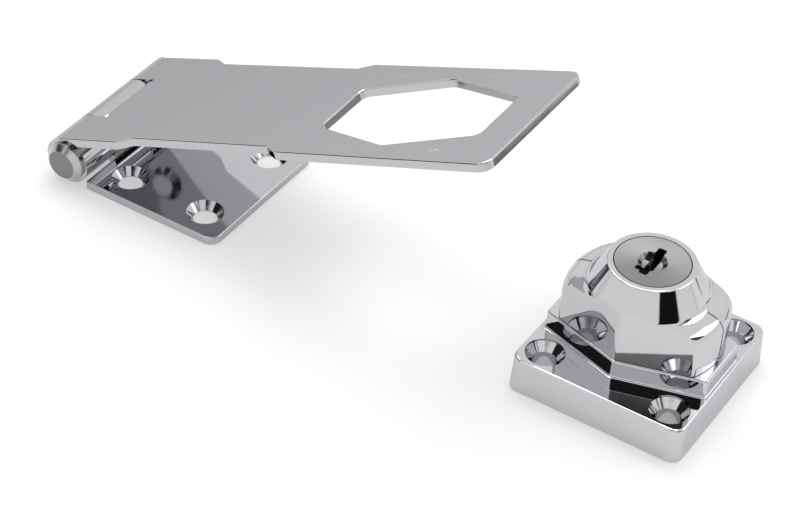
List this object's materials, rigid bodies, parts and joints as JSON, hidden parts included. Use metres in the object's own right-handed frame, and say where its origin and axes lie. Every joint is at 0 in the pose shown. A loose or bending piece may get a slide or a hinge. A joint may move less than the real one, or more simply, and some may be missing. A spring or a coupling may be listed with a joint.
{
  "type": "keyed hasp lock",
  "caption": "Chromed hinged hasp with a hexagonal window and a square lock with a keyed turning knob, both surface mounted with countersunk screws.",
  "frame": {"origin": "where the knob's axis meets the mounting plane, under the lock base", "axes": "+X along the hasp from its hinge to its free end, +Y along the hinge pin, +Z away from the mounting plane"},
  "size_m": [0.1574, 0.0422, 0.052],
  "materials": {
    "chrome_sheet": "bright chrome plate on pressed steel",
    "chrome_pin": "bright chrome plate, ends spun over",
    "chrome_casting": "mirror chrome plate on a polished zinc casting",
    "turned_plug": "turned face with fine rings, nickel plated",
    "plated_steel": "zinc plated steel",
    "spring_steel": "oiled spring steel",
    "wafer_brass": "stamped brass"
  },
  "bodies": {
    "root": {"hinge_leaf": "chrome_sheet", "hinge_pin": "chrome_pin", "lock_base": "chrome_casting"},
    "strap": {"hasp_strap": "chrome_sheet"},
    "knob": {"turn_knob": "chrome_casting", "bolt_cover": "plated_steel", "spring_washer": "spring_steel", "retaining_washer": "plated_steel", "retaining_clip": "spring_steel"},
    "plug": {"cylinder_plug": "turned_plug", "plug_cam": "plated_steel", "cam_screw": "plated_steel", "wafer_spring_1": "spring_steel", "wafer_spring_2": "spring_steel", "wafer_spring_3": "spring_steel", "wafer_spring_4": "spring_steel", "wafer_spring_5": "spring_steel"},
    "bolt": {"locking_bolt": "plated_steel"},
    "tumbler_1": {"wafer_1": "wafer_brass"},
    "tumbler_2": {"wafer_2": "wafer_brass"},
    "tumbler_3": {"wafer_3": "wafer_brass"},
    "tumbler_4": {"wafer_4": "wafer_brass"},
    "tumbler_5": {"wafer_5": "wafer_brass"}
  },
  "joints": [
    {"name": "strap_hinge", "type": "hinge", "parent": "root", "child": "strap", "pos_m": [-0.1323, 0, 0.00545], "axis": [0, -1, 0], "range_deg": [-21.6, 158.4]},
    {"name": "knob_turn", "type": "hinge", "parent": "root", "child": "knob", "pos_m": [0, 0, 0.0125], "axis": [0, 0, 1], "range_deg": [0, 90]},
    {"name": "plug_turn", "type": "hinge", "parent": "knob", "child": "plug", "pos_m": [0, 0, 0.0296], "axis": [0, 0, 1], "range_deg": [-90, 0]},
    {"name": "bolt_slide", "type": "slide", "parent": "knob", "child": "bolt", "axis": [1, 0, 0], "range_m": [0, 0.002]},
    {"name": "wafer_slide_1", "type": "slide", "parent": "plug", "child": "tumbler_1", "axis": [0, 1, 0], "range_m": [0, 0.0009]},
    {"name": "wafer_slide_2", "type": "slide", "parent": "plug", "child": "tumbler_2", "axis": [0, -1, 0], "range_m": [0, 0.0009]},
    {"name": "wafer_slide_3", "type": "slide", "parent": "plug", "child": "tumbler_3", "axis": [0, 1, 0], "range_m": [0, 0.0009]},
    {"name": "wafer_slide_4", "type": "slide", "parent": "plug", "child": "tumbler_4", "axis": [0, -1, 0], "range_m": [0, 0.0009]},
    {"name": "wafer_slide_5", "type": "slide", "parent": "plug", "child": "tumbler_5", "axis": [0, 1, 0], "range_m": [0, 0.0009]}
  ],
  "couplings": [
    {"joint": "bolt_slide", "follows": "plug_turn", "m_per_rad": -0.0012732}
  ]
}
